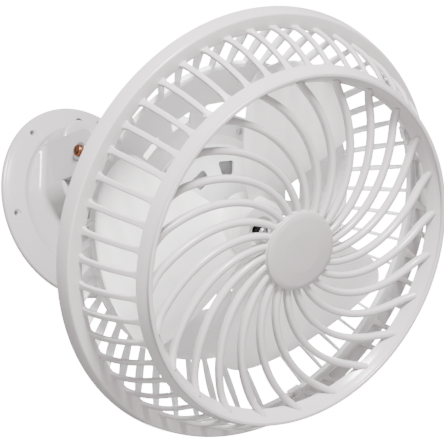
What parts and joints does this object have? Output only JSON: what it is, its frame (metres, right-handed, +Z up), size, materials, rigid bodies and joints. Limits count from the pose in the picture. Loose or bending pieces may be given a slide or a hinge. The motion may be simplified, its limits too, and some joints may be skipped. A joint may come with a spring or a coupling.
{
  "type": "tilting cabin fan",
  "caption": "Small caged cabin fan with spiral front grille on a tilting foot with a round mounting flange.",
  "frame": {"origin": "centre of the foot's mounting face", "axes": "+Y out of the mounting face into the wall or ceiling board, +X to the right seen from the front, +Z up, the fan blows towards -Y"},
  "size_m": [0.368, 0.3692, 0.3269],
  "materials": {
    "white_plastic": "glossy white moulded plastic",
    "blade_plastic": "satin white moulded plastic",
    "grey_plastic": "matt grey insulating plastic",
    "black_rubber": "matt black rubber",
    "black_steel": "blackened steel",
    "zinc_steel": "bright zinc-plated steel",
    "copper_steel": "copper-coloured plated steel",
    "brass": "plain turned brass",
    "aluminium": "die-cast aluminium",
    "core_steel": "stacked steel laminations",
    "copper_wire": "varnished copper wire",
    "lead_sleeve": "grey cable sleeve"
  },
  "bodies": {
    "base": {"base_canopy": "white_plastic", "cable_grommet": "black_rubber", "friction_washer_left": "black_rubber", "friction_washer_right": "black_rubber", "pivot_bolt": "copper_steel", "pivot_nut": "zinc_steel", "pivot_spring_washer": "zinc_steel", "pivot_washer_left": "zinc_steel", "pivot_washer_right": "zinc_steel", "terminal_block": "grey_plastic", "terminal_fixing_screw_1": "zinc_steel", "terminal_fixing_screw_2": "zinc_steel", "terminal_screw_1": "brass", "terminal_screw_2": "brass", "terminal_screw_3": "brass"},
    "head": {"bush_front": "brass", "bush_rear": "brass", "capacitor": "grey_plastic", "capacitor_clip": "zinc_steel", "clip_screw_1": "zinc_steel", "clip_screw_2": "zinc_steel", "cover_screw_1": "zinc_steel", "cover_screw_2": "zinc_steel", "cover_screw_3": "zinc_steel", "cover_screw_4": "zinc_steel", "end_shield_front": "aluminium", "end_shield_rear": "aluminium", "front_guard": "white_plastic", "guard_screw_1": "zinc_steel", "guard_screw_2": "zinc_steel", "guard_screw_3": "zinc_steel", "guard_screw_4": "zinc_steel", "hub_cap": "white_plastic", "motor_bolt_1": "zinc_steel", "motor_bolt_2": "zinc_steel", "motor_bolt_3": "zinc_steel", "motor_bolt_4": "zinc_steel", "motor_cover": "white_plastic", "motor_cover_screw_1": "zinc_steel", "motor_cover_screw_2": "zinc_steel", "motor_cover_screw_3": "zinc_steel", "motor_lead": "lead_sleeve", "rear_cover": "white_plastic", "rear_guard": "white_plastic", "stator_core": "core_steel", "winding_front": "copper_wire", "winding_rear": "copper_wire"},
    "rotor": {"blade_insert": "brass", "blade_nut": "black_steel", "blade_set": "blade_plastic", "drive_pin": "zinc_steel", "rotor_core": "core_steel", "rotor_end_ring_front": "aluminium", "rotor_end_ring_rear": "aluminium", "rotor_shaft": "zinc_steel", "shaft_collar_front": "black_steel", "shaft_collar_rear": "black_steel"}
  },
  "joints": [
    {"name": "head_tilt", "type": "hinge", "parent": "base", "child": "head", "pos_m": [0, -0.064, 0.022], "axis": [1, 0, 0], "range_deg": [-75, 15]},
    {"name": "blade_spin", "type": "hinge", "parent": "head", "child": "rotor", "pos_m": [0, -0.064, 0.022], "axis": [0, -0.866, -0.5], "continuous": true}
  ]
}
